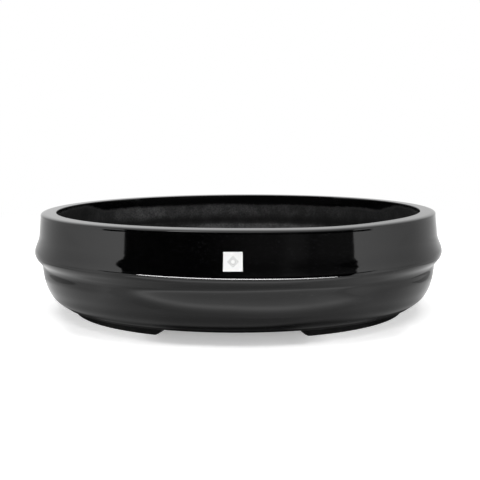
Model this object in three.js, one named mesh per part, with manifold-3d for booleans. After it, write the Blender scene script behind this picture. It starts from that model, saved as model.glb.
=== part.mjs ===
// A shallow oval ceramic plant pot: a thick flat-topped rim over a plain collar, a swelling belt, a crease, and a
// bowl-shaped lower wall that rolls under to a lip. It stands on four curved feet. Two drainage holes in its floor
// are covered by plastic nets, each held by a bent wire clip. A small blank square label is stuck to the front.
// Millimetres, +Z up. The origin is on the resting plane, at the middle of the pot. The front faces -Y.

import * as THREE from 'three';
import { mergeVertices } from 'three/addons/utils/BufferGeometryUtils.js';
import Module from 'manifold-3d';

// Overall sizes
const LENGTH = 360;
const WIDTH = 284;
const HEIGHT = 89.2;

// Space left between pieces that touch
const GAP = 0.3;

// Body, outside, from the bottom up. Its three curved stretches take their heights from the pot's own.
const FOOT_HEIGHT = 7.4;
const LIP_WIDTH = 2.8;
const LIP_RISE = 1.7;
const LOWER_HEIGHT = 0.425 * HEIGHT;
const LOWER_DRAW_IN = 17.05;
const CREASE_DEPTH = 5.9;
const BELT_UNDERSIDE = 0.105 * HEIGHT;
const BELT_RISE = 0.168 * HEIGHT;
const COLLAR_SET_BACK = 4.5;
const COLLAR_LEAN = 2;

// How full the curved stretches of the wall are: each handle's reach across and up its stretch, as shares of it
const LOWER_WALL_FOOT_HANDLE = { across: 0.93, up: 0.187 };
const LOWER_WALL_TOP_HANDLE = { across: 0.05, down: 0.267 };
const BELT_UNDER_HANDLE = { across: 0.574, up: 0.268 };
const BELT_LOW_HANDLE = 0.359;
const BELT_HIGH_HANDLE = 0.33;
const COLLAR_FOOT_HANDLE = { across: 0.2, down: 0.43 };

// Rim and inside
const RIM_THICKNESS = 13.2;
const RIM_OUTER_ROUND = 3.1;
const RIM_INNER_ROUND = 1.2;
const INNER_WALL_LEAN = 2.5;
const FLOOR_THICKNESS = 10;
const FLOOR_CURVE = 24;

// Feet
const FOOT_INSET = 3.6;
const FOOT_THICKNESS = 17;
const FOOT_FACE_SLANT = 4;
const FOOT_INNER_SLANT = 3;
const FOOT_END_SLANT = 9.6;
const FOOT_SPACING_FRONT = 126.8;
const FOOT_SPACING_SIDE = 56;
const FOOT_TIP_HEIGHT = 0.7;

// Drainage holes, nets and clips
const DRAIN_DIAMETER = 30;
const DRAIN_SPACING = 150;
const NET_PITCH = 4.2;
const NET_STRAND = 1.2;
const NET_MARGIN = 3.5;
const NET_THICKNESS = 1.2;
const NET_CORNER = 2;
const WIRE_DIAMETER = 1.6;
const WIRE_BEND = 2.1;
const HOOK_LENGTH = 11;

// Label
const LABEL_SIZE = 14.4;
const LABEL_THICKNESS = 0.3;
const LABEL_ABOVE_BELT = 5;
const LABEL_OFF_MIDDLE = 3.9;

// How finely curves are cut
const ROUND_STEPS = 72;
const CURVE_STEPS = 7;
const CORNER_STEPS = 3;
const FOOT_STEPS = 12;
const FOOT_END_STEPS = 5;
const LABEL_STEPS = 8;
const WIRE_STEP = 1.5;
const WIRE_SIDE_STEPS = 3;
const ANGLE_HALVINGS = 40;

// Heights that follow from the sizes above
const BASE = FOOT_HEIGHT + GAP;
const CREASE = BASE + LOWER_HEIGHT;
const BELT = CREASE + BELT_UNDERSIDE;
const COLLAR = BELT + BELT_RISE;
const FLOOR = BASE + FLOOR_THICKNESS;

// How far the lip's lowest line lies inside the belt, the widest line of the pot
const LIP_TOP_SET_BACK = CREASE_DEPTH + LOWER_DRAW_IN;
const LIP_SET_BACK = LIP_TOP_SET_BACK + LIP_WIDTH;
const RIM_SET_BACK = COLLAR_SET_BACK + COLLAR_LEAN;

// Enough gaps in a row of the net to cover the hole with a margin, with one gap over its middle
const NET_GAPS = 1 + 2 * Math.ceil((DRAIN_DIAMETER / 2 + NET_MARGIN - NET_PITCH / 2) / NET_PITCH);

const glaze = new THREE.MeshStandardMaterial({ color: 0x08080a, roughness: 0.08, metalness: 0 });
const clay = new THREE.MeshStandardMaterial({ color: 0x16161a, roughness: 0.75, metalness: 0 });
const netPlastic = new THREE.MeshStandardMaterial({ color: 0x20221f, roughness: 0.6, metalness: 0 });
const wireMetal = new THREE.MeshStandardMaterial({ color: 0xa9aaac, roughness: 0.35, metalness: 1 });
const paper = new THREE.MeshStandardMaterial({ color: 0xf2f2f0, roughness: 0.55, metalness: 0 });

const wasm = await Module();
wasm.setup();

const pot = new THREE.Group();

// A point at one angle round the pot and a distance outside the belt's ellipse (inside it when negative)
function onOval(angle, outward, z) {
  const normal = new THREE.Vector2(Math.cos(angle) * WIDTH, Math.sin(angle) * LENGTH).normalize();
  return new THREE.Vector3(
    (LENGTH / 2) * Math.cos(angle) + outward * normal.x,
    (WIDTH / 2) * Math.sin(angle) + outward * normal.y,
    z,
  );
}

// A closed body from rings of points, each ring joined to the next, with both ends closed flat
function loft(rings, cornerIndices) {
  const sides = rings[0].length;
  const positions = rings.flat().flatMap((point) => [point.x, point.y, point.z]);
  const triangles = [];
  for (let ring = 0; ring < rings.length - 1; ring++) {
    for (let side = 0; side < sides; side++) {
      const here = ring * sides + side;
      const beside = ring * sides + ((side + 1) % sides);
      triangles.push(here, beside, beside + sides, here, beside + sides, here + sides);
    }
  }
  const last = (rings.length - 1) * sides;
  for (const [a, b, c] of cornerIndices) {
    triangles.push(c, b, a, last + a, last + b, last + c);
  }
  const geometry = new THREE.BufferGeometry();
  geometry.setAttribute('position', new THREE.Float32BufferAttribute(positions, 3));
  geometry.setIndex(triangles);
  geometry.computeVertexNormals();
  return geometry;
}

function toSolid(geometry) {
  const bare = geometry.clone();
  bare.deleteAttribute('normal');
  bare.deleteAttribute('uv');
  const merged = mergeVertices(bare);
  return new wasm.Manifold(new wasm.Mesh({
    numProp: 3,
    vertProperties: Float32Array.from(merged.attributes.position.array),
    triVerts: Uint32Array.from(merged.index.array),
  }));
}

function toGeometry(solid) {
  const mesh = solid.getMesh();
  const geometry = new THREE.BufferGeometry();
  geometry.setAttribute('position', new THREE.BufferAttribute(mesh.vertProperties, 3));
  geometry.setIndex(new THREE.BufferAttribute(mesh.triVerts, 1));
  geometry.computeVertexNormals();
  return geometry;
}

function addPiece(name, geometry, material, position = new THREE.Vector3()) {
  const mesh = new THREE.Mesh(geometry, material);
  mesh.name = name;
  mesh.position.copy(position);
  pot.add(mesh);
}

// The outside of the pot from its lip to the rim, as a path of (distance outside the belt, height)
function outsideWall() {
  const lip = BASE + LIP_RISE;
  const lowerRise = CREASE - lip;
  const wall = new THREE.CurvePath();
  const at = (outward, z) => new THREE.Vector2(outward, z);
  wall.add(new THREE.QuadraticBezierCurve(
    at(-LIP_SET_BACK, BASE),
    at(-LIP_TOP_SET_BACK, BASE),
    at(-LIP_TOP_SET_BACK, lip),
  ));
  wall.add(new THREE.CubicBezierCurve(
    at(-LIP_TOP_SET_BACK, lip),
    at(
      -LIP_TOP_SET_BACK + LOWER_WALL_FOOT_HANDLE.across * LOWER_DRAW_IN,
      lip + LOWER_WALL_FOOT_HANDLE.up * lowerRise,
    ),
    at(
      -CREASE_DEPTH - LOWER_WALL_TOP_HANDLE.across * LOWER_DRAW_IN,
      CREASE - LOWER_WALL_TOP_HANDLE.down * lowerRise,
    ),
    at(-CREASE_DEPTH, CREASE),
  ));
  wall.add(new THREE.CubicBezierCurve(
    at(-CREASE_DEPTH, CREASE),
    at((BELT_UNDER_HANDLE.across - 1) * CREASE_DEPTH, CREASE + BELT_UNDER_HANDLE.up * BELT_UNDERSIDE),
    at(0, BELT - BELT_LOW_HANDLE * BELT_UNDERSIDE),
    at(0, BELT),
  ));
  wall.add(new THREE.CubicBezierCurve(
    at(0, BELT),
    at(0, BELT + BELT_HIGH_HANDLE * BELT_RISE),
    at((COLLAR_FOOT_HANDLE.across - 1) * COLLAR_SET_BACK, COLLAR - COLLAR_FOOT_HANDLE.down * BELT_RISE),
    at(-COLLAR_SET_BACK, COLLAR),
  ));
  wall.add(new THREE.LineCurve(
    at(-COLLAR_SET_BACK, COLLAR),
    at(-RIM_SET_BACK, HEIGHT - RIM_OUTER_ROUND),
  ));
  wall.add(new THREE.QuadraticBezierCurve(
    at(-RIM_SET_BACK, HEIGHT - RIM_OUTER_ROUND),
    at(-RIM_SET_BACK, HEIGHT),
    at(-RIM_SET_BACK - RIM_OUTER_ROUND, HEIGHT),
  ));
  return wall;
}

// The inside, from the rim down to the flat floor
function insideWall() {
  const rimInside = -RIM_SET_BACK - RIM_THICKNESS;
  const wallFoot = rimInside - INNER_WALL_LEAN;
  const wall = new THREE.CurvePath();
  const at = (outward, z) => new THREE.Vector2(outward, z);
  wall.add(new THREE.QuadraticBezierCurve(
    at(rimInside + RIM_INNER_ROUND, HEIGHT),
    at(rimInside, HEIGHT),
    at(rimInside, HEIGHT - RIM_INNER_ROUND),
  ));
  wall.add(new THREE.LineCurve(
    at(rimInside, HEIGHT - RIM_INNER_ROUND),
    at(wallFoot, FLOOR + FLOOR_CURVE),
  ));
  wall.add(new THREE.QuadraticBezierCurve(
    at(wallFoot, FLOOR + FLOOR_CURVE),
    at(wallFoot, FLOOR),
    at(wallFoot - FLOOR_CURVE, FLOOR),
  ));
  return wall;
}

// Points along a path of curves: straight stretches keep only their ends
function pathPoints(path) {
  const points = [];
  for (const curve of path.curves) {
    let steps = CORNER_STEPS;
    if (curve instanceof THREE.CubicBezierCurve) steps = CURVE_STEPS;
    if (curve instanceof THREE.LineCurve) steps = 1;
    const onCurve = curve.getPoints(steps);
    points.push(...(points.length ? onCurve.slice(1) : onCurve));
  }
  return points;
}

function makeBody() {
  const middle = WIDTH / 2;
  const outline = [...pathPoints(outsideWall()), ...pathPoints(insideWall())];
  const profile = [
    new THREE.Vector2(0, BASE),
    ...outline.map((point) => new THREE.Vector2(middle + point.x, point.y)),
    new THREE.Vector2(0, FLOOR),
  ];
  const geometry = new THREE.LatheGeometry(profile, ROUND_STEPS).rotateX(Math.PI / 2);

  // The round body becomes an oval whose wall keeps its thickness all the way round
  const position = geometry.attributes.position;
  for (let index = 0; index < position.count; index++) {
    const radius = Math.hypot(position.getX(index), position.getY(index));
    if (radius < GAP) continue;
    const angle = Math.atan2(position.getY(index), position.getX(index));
    const moved = onOval(angle, radius - middle, position.getZ(index));
    position.setXYZ(index, moved.x, moved.y, moved.z);
  }

  let body = toSolid(geometry);
  for (const side of [-1, 1]) {
    const hole = new THREE.CylinderGeometry(DRAIN_DIAMETER / 2, DRAIN_DIAMETER / 2, 2 * FLOOR, ROUND_STEPS / 2);
    hole.rotateX(Math.PI / 2).translate(side * DRAIN_SPACING / 2, 0, FLOOR);
    body = body.subtract(toSolid(hole));
  }
  addPiece('pot_body', toGeometry(body), glaze);
}

// The angle round the oval at which a line inside the belt reaches a distance from the middle, along X or Y
function angleAt(distance, outward, axis) {
  let low = 0;
  let high = Math.PI / 2;
  for (let step = 0; step < ANGLE_HALVINGS; step++) {
    const angle = (low + high) / 2;
    const reached = onOval(angle, outward, 0)[axis];
    const tooFar = axis === 'x' ? reached < distance : reached > distance;
    if (tooFar) high = angle;
    else low = angle;
  }
  return (low + high) / 2;
}

// One foot: a curved bar under the lip, its face slanting in and its ends slanting up to the body
function makeFoot(name, xSide, ySide) {
  const faceTop = -LIP_SET_BACK - FOOT_INSET;
  const faceFoot = faceTop - FOOT_FACE_SLANT;
  const backTop = faceTop - FOOT_THICKNESS;
  const backFoot = backTop + FOOT_INNER_SLANT;
  const topFront = FOOT_SPACING_FRONT / 2 - FOOT_END_SLANT;
  const topSide = FOOT_SPACING_SIDE / 2 - FOOT_END_SLANT;
  const start = angleAt(topSide, faceTop, 'y');
  const end = angleAt(topFront, faceTop, 'x');
  const slopeStart = angleAt(FOOT_SPACING_SIDE / 2, faceTop, 'y') - start;
  const slopeEnd = end - angleAt(FOOT_SPACING_FRONT / 2, faceTop, 'x');

  // How far down the foot reaches at an angle: 0 at its tip, 1 along its flat bottom, rounded between
  const angles = [];
  for (let step = 0; step < FOOT_END_STEPS; step++) {
    angles.push([start + slopeStart * step / FOOT_END_STEPS, step / FOOT_END_STEPS]);
  }
  for (let step = 0; step <= FOOT_STEPS; step++) {
    angles.push([THREE.MathUtils.lerp(start + slopeStart, end - slopeEnd, step / FOOT_STEPS), 1]);
  }
  for (let step = FOOT_END_STEPS - 1; step >= 0; step--) {
    angles.push([end - slopeEnd * step / FOOT_END_STEPS, step / FOOT_END_STEPS]);
  }

  const rings = angles.map(([angle, share]) => {
    const depth = Math.sin(share * Math.PI / 2);
    const low = (FOOT_HEIGHT - FOOT_TIP_HEIGHT) * (1 - depth);
    return [
      onOval(angle, faceTop, FOOT_HEIGHT),
      onOval(angle, backTop, FOOT_HEIGHT),
      onOval(angle, THREE.MathUtils.lerp(backTop, backFoot, depth), low),
      onOval(angle, THREE.MathUtils.lerp(faceTop, faceFoot, depth), low),
    ].map((point) => point.multiply(new THREE.Vector3(xSide, ySide, 1)));
  });
  const mirrored = xSide * ySide > 0;
  const ordered = mirrored ? rings.map((ring) => [...ring].reverse()) : rings;
  addPiece(name, loft(ordered, [[0, 1, 2], [0, 2, 3]]), clay);
}

// A square plastic net that covers one drainage hole from inside
function makeNet(name, x) {
  const half = (NET_GAPS * NET_PITCH + NET_STRAND) / 2;
  const inner = half - NET_CORNER;
  const outline = new THREE.Shape();
  outline.moveTo(-inner, -half);
  outline.lineTo(inner, -half);
  outline.quadraticCurveTo(half, -half, half, -inner);
  outline.lineTo(half, inner);
  outline.quadraticCurveTo(half, half, inner, half);
  outline.lineTo(-inner, half);
  outline.quadraticCurveTo(-half, half, -half, inner);
  outline.lineTo(-half, -inner);
  outline.quadraticCurveTo(-half, -half, -inner, -half);
  let net = toSolid(new THREE.ExtrudeGeometry(outline, {
    depth: NET_THICKNESS,
    bevelEnabled: false,
    curveSegments: CORNER_STEPS,
  }));
  const opening = NET_PITCH - NET_STRAND;
  for (let column = 0; column < NET_GAPS; column++) {
    for (let row = 0; row < NET_GAPS; row++) {
      const cut = new THREE.BoxGeometry(opening, opening, NET_THICKNESS + 2 * GAP);
      const centreX = (column - (NET_GAPS - 1) / 2) * NET_PITCH;
      const centreY = (row - (NET_GAPS - 1) / 2) * NET_PITCH;
      net = net.subtract(toSolid(cut.translate(centreX, centreY, NET_THICKNESS / 2)));
    }
  }
  addPiece(name, toGeometry(net), netPlastic, new THREE.Vector3(x, 0, FLOOR + GAP));
}

// A line through points whose corners are rounded
function bentWirePath(corners, bend) {
  const path = new THREE.CurvePath();
  let from = corners[0];
  for (let index = 1; index < corners.length - 1; index++) {
    const corner = corners[index];
    const before = corner.clone().sub(corners[index - 1]).setLength(bend);
    const after = corners[index + 1].clone().sub(corner).setLength(bend);
    const into = corner.clone().sub(before);
    const out = corner.clone().add(after);
    if (into.distanceTo(from) > GAP) path.add(new THREE.LineCurve3(from, into));
    path.add(new THREE.QuadraticBezierCurve3(into, corner, out));
    from = out;
  }
  path.add(new THREE.LineCurve3(from, corners.at(-1)));
  return path;
}

// A wire clip: two turns lie on the net, and two legs go down through it and hook outwards under the floor
function makeClip(name, x) {
  const over = FLOOR + GAP + NET_THICKNESS + GAP + WIRE_DIAMETER / 2;
  const under = BASE - GAP - WIRE_DIAMETER / 2;
  const column = Math.floor((DRAIN_DIAMETER / 2 - WIRE_DIAMETER) / NET_PITCH);
  const legX = column * NET_PITCH;
  const legY = NET_PITCH;
  const bend = Math.min(WIRE_BEND, legY / 2);
  const turnX = legX + bend;
  const at = (px, py, pz) => new THREE.Vector3(px, py, pz);
  const path = bentWirePath([
    at(-legX - HOOK_LENGTH, -legY, under),
    at(-legX, -legY, under),
    at(-legX, -legY, over),
    at(turnX, -legY, over),
    at(turnX, 0, over),
    at(-turnX, 0, over),
    at(-turnX, legY, over),
    at(legX, legY, over),
    at(legX, legY, under),
    at(legX + HOOK_LENGTH, legY, under),
  ], bend);
  const section = new THREE.Shape().absarc(0, 0, WIRE_DIAMETER / 2, 0, 2 * Math.PI);
  const wire = new THREE.ExtrudeGeometry(section, {
    extrudePath: path,
    steps: Math.round(path.getLength() / WIRE_STEP),
    curveSegments: WIRE_SIDE_STEPS,
  });
  addPiece(name, wire, wireMetal, new THREE.Vector3(x, 0, 0));
}

// The label follows the wall of the pot upwards from a set distance above the belt
function makeLabel() {
  const wall = pathPoints(outsideWall()).filter((point) => point.y >= BELT && point.x >= -RIM_SET_BACK);
  const wallAt = (z) => {
    const upper = wall.findIndex((point) => point.y > z);
    const index = upper < 1 ? wall.length - 1 : upper;
    const below = wall[index - 1];
    const above = wall[index];
    return below.clone().lerp(above, (z - below.y) / (above.y - below.y));
  };
  const rowStep = LABEL_SIZE / LABEL_STEPS;
  const angleOfColumn = (column) => {
    const across = LABEL_OFF_MIDDLE + LABEL_SIZE * (column / LABEL_STEPS - 0.5);
    return Math.asin(across / (LENGTH / 2)) - Math.PI / 2;
  };
  const rows = [];
  let z = BELT + LABEL_ABOVE_BELT;
  for (let row = 0; row <= LABEL_STEPS; row++) {
    const point = wallAt(z);
    const along = wallAt(z + rowStep).sub(wallAt(z)).normalize();
    const outward = new THREE.Vector2(along.y, -along.x);
    const back = point.clone().addScaledVector(outward, GAP);
    const face = point.clone().addScaledVector(outward, GAP + LABEL_THICKNESS);
    const ring = [];
    for (let column = 0; column <= LABEL_STEPS; column++) {
      ring.push(onOval(angleOfColumn(column), face.x, face.y));
    }
    for (let column = LABEL_STEPS; column >= 0; column--) {
      ring.push(onOval(angleOfColumn(column), back.x, back.y));
    }
    rows.push(ring);
    z += rowStep * along.y;
  }
  const corners = [];
  const sides = 2 * (LABEL_STEPS + 1);
  for (let column = 0; column < LABEL_STEPS; column++) {
    const across = sides - 1 - column;
    corners.push([column, column + 1, across - 1], [column, across - 1, across]);
  }
  addPiece('front_label', loft(rows, corners), paper);
}

makeBody();
makeFoot('foot_front_left', -1, -1);
makeFoot('foot_front_right', 1, -1);
makeFoot('foot_rear_left', -1, 1);
makeFoot('foot_rear_right', 1, 1);
for (const [side, name] of [[-1, 'left'], [1, 'right']]) {
  makeNet(`drain_net_${name}`, side * DRAIN_SPACING / 2);
  makeClip(`net_clip_${name}`, side * DRAIN_SPACING / 2);
}
makeLabel();

export default pot;
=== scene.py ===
"""A shallow oval ceramic plant pot in black glaze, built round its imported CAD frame.

The pot's own sizes are in millimetres. Everything is built in metres, with the front facing -Y.
"""

import math

import bmesh
import bpy
import numpy as np
from mathutils import Matrix, Vector


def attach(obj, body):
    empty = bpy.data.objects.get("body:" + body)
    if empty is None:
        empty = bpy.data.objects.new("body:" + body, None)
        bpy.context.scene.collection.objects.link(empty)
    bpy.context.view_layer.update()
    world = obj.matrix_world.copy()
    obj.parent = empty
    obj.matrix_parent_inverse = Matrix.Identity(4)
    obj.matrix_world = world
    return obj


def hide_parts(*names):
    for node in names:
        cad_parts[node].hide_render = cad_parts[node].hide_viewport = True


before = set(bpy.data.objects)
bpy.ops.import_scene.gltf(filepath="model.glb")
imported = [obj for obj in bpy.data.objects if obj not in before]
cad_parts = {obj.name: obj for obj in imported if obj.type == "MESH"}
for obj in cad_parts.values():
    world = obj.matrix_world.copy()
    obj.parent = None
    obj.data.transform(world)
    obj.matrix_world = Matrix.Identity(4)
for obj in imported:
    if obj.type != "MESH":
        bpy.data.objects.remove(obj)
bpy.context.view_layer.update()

MM = 0.001

# Pot, the same sizes as the CAD model, in millimetres. A pair is a distance outside the belt, and a height.
LENGTH = 360
WIDTH = 284
HEIGHT = 89.2
FOOT_HEIGHT = 7.4
BASE = 7.7
FLOOR = 17.7
LIP_TOP = (-22.95, 9.4)
LIP_FOOT = (-25.75, 7.7)
CREASE = (-5.9, 45.61)
BELT = (0, 54.976)
COLLAR = (-4.5, 69.962)
RIM_OUT = -6.5
RIM_IN = -19.7
RIM_EDGE_ROUND = 0.5
WALL_FOOT = (-22.2, 41.7)
FLOOR_EDGE = -46.2
UNDERSIDE_EDGE = -52

# Handles of the outline's curves, as shares of each stretch's width and height
LOWER_FOOT_HANDLE = (0.93, 0.187)
LOWER_TOP_HANDLE = (0.05, 0.267)
BELT_UNDER_HANDLE = (0.426, 0.268)
BELT_LOW_HANDLE = 0.359
BELT_HIGH_HANDLE = 0.33
COLLAR_FOOT_HANDLE = (0.8, 0.43)

# The rim's outer edge: how far its rounding reaches in and down, and the slight flare just under it
RIM_OUTER_ROUND = (4.8, 1.8)
RIM_FLARE = 0.14
RIM_FLARE_HEIGHT = 2.0

# Feet
FOOT_FACE = -29.35
FOOT_THICKNESS = 17
FOOT_FACE_SLANT = 4
FOOT_INNER_SLANT = 3
FOOT_END_SLANT = 9.6
FOOT_SPACING_FRONT = 126.8
FOOT_SPACING_SIDE = 56
FOOT_TIP_HEIGHT = 0.7
FOOT_EDGE_ROUND = 1.6
FOOT_TIP_ROUND_SHARE = 0.8
FOOT_INTO_BASE = 0.05

# Drainage holes, nets and clips
DRAIN_RADIUS = 15
DRAIN_EDGE_ROUND = 1.1
DRAIN_X = 75
NET_PITCH = 4.2
NET_GAPS = 9
NET_STRAND = 1.2
NET_CORNER = 2
NET_BOTTOM = 18
NET_HOLE_ROUND = 0.7
WIRE_RADIUS = 0.8
WIRE_END_ROUND = (0.35, 0.8, 1.0)
WIRE_BEND = 2.1
HOOK_LENGTH = 11
CLIP_LEG = (12.6, 4.2)
CLIP_OVER = 20.3
CLIP_UNDER = 6.6

# Label
LABEL_SIZE = 14.4
LABEL_FOOT = 59.976
LABEL_OFF_MIDDLE = 3.9
LABEL_LIFT = 0.06
LABEL_THICKNESS = 0.24
LABEL_CORNER = 0.025

# How finely the pieces are cut, in millimetres where it is a step, and how much their outlines are eased
CURVE_POINTS = 200
ROUND_SIDES = 320
OUTSIDE_STEP = 0.75
INSIDE_STEP = 1.8
OUTLINE_STEP = 0.1
OUTLINE_SOFTNESS = 4
INSIDE_SOFTNESS = 2
BULGE_SOFTNESS = 8
CREASE_SOFTNESS = 22
CREASE_REACH = 6
ROUND_STEP = 0.35
ROUND_POINTS = 70
EDGE_STEP = 0.2
EDGE_POINTS = 20
FLAT_MARGIN = 0.3
HOLE_SIDES = 64
HOLE_EDGE_POINTS = 5
ANGLE_TRIES = 20001
FOOT_SLANT_CUTS = 13
FOOT_MIDDLE_CUTS = 42
FOOT_EDGE_POINTS = 6
FOOT_SHARP_ANGLE = 50
STRAND_SIDE_POINTS = 8
STRAND_TURN_POINTS = 9
STRAND_JOIN = 0.02
WIRE_STEP = 0.45
WIRE_SIDES = 14
WIRE_BEND_POINTS = 12
LABEL_CUTS = 15
LABEL_SHARP_ANGLE = 40

# As fired pots do, the rim sags a little at the front right, and is a little narrower at the far right.
# Angles are in degrees round the pot, with the right end at 0 and the front at -90.
SAG_DEPTH = 1.0
SAG_ANGLE = -62
SAG_SPREAD = 18
SAG_HEIGHTS = (42, 60)
NARROWING = 1.7
NARROWING_ANGLE = 58
NARROWING_SPREAD = 40

# Glaze: how far it runs over the rim and under the lip
GLAZE_INSIDE = 10.4
GLAZE_UNDERSIDE = 1.5
WELL_GLAZED = -20.0
WELL_BARE = HEIGHT
BARE_FLOOR_MARGIN = 1


def points_at(x, y, z):
    """Points as rows. Any of the three may be one number for all of them."""
    return np.stack(np.broadcast_arrays(x, y, z), -1)


def oval(angle, out, z):
    """Points in metres. Distances outside the belt's ellipse and heights are in millimetres."""
    normal = np.stack([np.cos(angle) * WIDTH, np.sin(angle) * LENGTH], -1)
    normal /= np.linalg.norm(normal, axis=-1, keepdims=True)
    x = LENGTH / 2 * np.cos(angle) + out * normal[..., 0]
    y = WIDTH / 2 * np.sin(angle) + out * normal[..., 1]
    return points_at(x, y, z) * MM


def smooth(value, low, high):
    """A smooth step from 0, where value is at low, to 1, where it is at high."""
    share = np.clip((value - low) / (high - low), 0, 1)
    return share * share * (3 - 2 * share)


def hill(value, middle, width):
    """1 where value is at the middle, falling to 0 on both sides."""
    return np.exp(-((value - middle) / width) ** 2)


def bezier(*points):
    """A fine line of points along a Bezier curve of any degree."""
    share = np.linspace(0, 1, CURVE_POINTS)[:, None]
    level = [np.broadcast_to(np.array(p, float), (CURVE_POINTS, 2)) for p in points]
    while len(level) > 1:
        level = [a * (1 - share) + b * share for a, b in zip(level, level[1:])]
    return level[0]


def lengths_along(line):
    """How far along the line each of its points lies."""
    return np.concatenate([[0], np.cumsum(np.linalg.norm(np.diff(line, axis=0), axis=1))])


def directions(line):
    """Which way the line runs at each of its points, one unit long."""
    ahead = np.gradient(line, axis=0)
    return ahead / np.linalg.norm(ahead, axis=1, keepdims=True)


def evenly(line, step):
    """The same line with its points a set distance apart."""
    along = lengths_along(line)
    count = max(2, int(round(along[-1] / step)) + 1)
    places = np.linspace(0, along[-1], count)
    return np.stack([np.interp(places, along, line[:, k]) for k in range(line.shape[1])], -1)


def softened(line, width):
    """The line with its sharp corners eased, and its two ends kept."""
    reach = 4 * width
    kernel = np.exp(-0.5 * (np.arange(-reach, reach + 1) / width) ** 2)
    kernel /= kernel.sum()
    padded = np.concatenate([2 * line[:1] - line[reach:0:-1], line, 2 * line[-1:] - line[-2:-reach - 2:-1]])
    return np.stack([np.convolve(padded[:, k], kernel, "valid") for k in range(line.shape[1])], -1)


def outside_line():
    """The pot's outside from its lip to the rim's top, as (distance outside the belt, height)."""
    lower_width, lower_rise = CREASE[0] - LIP_TOP[0], CREASE[1] - LIP_TOP[1]
    belt_rise = BELT[1] - CREASE[1]
    collar_rise = COLLAR[1] - BELT[1]
    flare_foot = HEIGHT - RIM_OUTER_ROUND[1] - RIM_FLARE_HEIGHT
    flare_top = HEIGHT - RIM_OUTER_ROUND[1]
    lean = (RIM_OUT - COLLAR[0]) / (flare_top - COLLAR[1]) * RIM_FLARE_HEIGHT / 2
    flare_start = (RIM_OUT - 2 * lean, flare_foot)
    flare_middle = (RIM_OUT - lean, (flare_foot + flare_top) / 2)
    flare_end = (RIM_OUT + RIM_FLARE, flare_top)
    lip = bezier(LIP_FOOT, (LIP_TOP[0], LIP_FOOT[1]), LIP_TOP)
    lower_wall = bezier(
        LIP_TOP,
        (LIP_TOP[0] + LOWER_FOOT_HANDLE[0] * lower_width, LIP_TOP[1] + LOWER_FOOT_HANDLE[1] * lower_rise),
        (CREASE[0] - LOWER_TOP_HANDLE[0] * lower_width, CREASE[1] - LOWER_TOP_HANDLE[1] * lower_rise),
        CREASE,
    )
    belt_underside = bezier(
        CREASE,
        (BELT_UNDER_HANDLE[0] * CREASE[0], CREASE[1] + BELT_UNDER_HANDLE[1] * belt_rise),
        (0, BELT[1] - BELT_LOW_HANDLE * belt_rise),
        BELT,
    )
    belt_upper_side = bezier(
        BELT,
        (0, BELT[1] + BELT_HIGH_HANDLE * collar_rise),
        (COLLAR_FOOT_HANDLE[0] * COLLAR[0], COLLAR[1] - COLLAR_FOOT_HANDLE[1] * collar_rise),
        COLLAR,
    )
    rim = [
        bezier(COLLAR, flare_start),
        bezier(flare_start, flare_middle, flare_end),
        bezier(flare_end, (flare_end[0], HEIGHT), (RIM_OUT - RIM_OUTER_ROUND[0], HEIGHT)),
    ]
    bulge = evenly(np.concatenate([lower_wall, belt_underside, belt_upper_side]), OUTLINE_STEP)
    bulge = softened(bulge, BULGE_SOFTNESS)
    bulge += (softened(bulge, CREASE_SOFTNESS) - bulge) * hill(bulge[:, 1:], CREASE[1], CREASE_REACH)
    return softened(evenly(np.concatenate([lip, bulge, *rim]), OUTLINE_STEP), OUTLINE_SOFTNESS)


def inside_line():
    """The pot's inside from the rim's top down to its flat floor."""
    edge_foot = (RIM_IN, HEIGHT - RIM_EDGE_ROUND)
    parts = [
        bezier((RIM_IN + RIM_EDGE_ROUND, HEIGHT), (RIM_IN, HEIGHT), edge_foot),
        bezier(edge_foot, WALL_FOOT),
        bezier(WALL_FOOT, (WALL_FOOT[0], FLOOR), (FLOOR_EDGE, FLOOR)),
    ]
    return softened(evenly(np.concatenate(parts), OUTLINE_STEP), INSIDE_SOFTNESS)


def as_object(name, data):
    made = bpy.data.objects.new(name, data)
    bpy.context.scene.collection.objects.link(made)
    return made


def smooth_mesh(name, bm):
    """A mesh with outward faces and smooth shading from a bmesh, which is freed."""
    bmesh.ops.recalc_face_normals(bm, faces=bm.faces)
    mesh = bpy.data.meshes.new(name)
    bm.to_mesh(mesh)
    bm.free()
    mesh.polygons.foreach_set("use_smooth", np.ones(len(mesh.polygons), bool))
    return mesh


def add_rings(bm, rings):
    """Joins rings of points one to the next with quads, and returns their vertices."""
    made = [[bm.verts.new(p) for p in ring] for ring in rings]
    for low, high in zip(made, made[1:]):
        for i in range(len(low)):
            j = (i + 1) % len(low)
            bm.faces.new((low[i], low[j], high[j], high[i]))
    return made


def capped_tube(name, rings):
    """A smooth mesh through rings of points, with a face at each end."""
    bm = bmesh.new()
    made = add_rings(bm, rings)
    bm.faces.new(made[0])
    bm.faces.new(made[-1])
    return smooth_mesh(name, bm)


def loop_edges(bm, loop):
    """The edges round a closed loop of vertices."""
    return [bm.edges.get((a, b)) for a, b in zip(loop, loop[1:] + loop[:1])]


def full_turn(sides):
    """Angles evenly round a circle, in radians."""
    return np.arange(sides) * 2 * math.pi / sides


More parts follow.
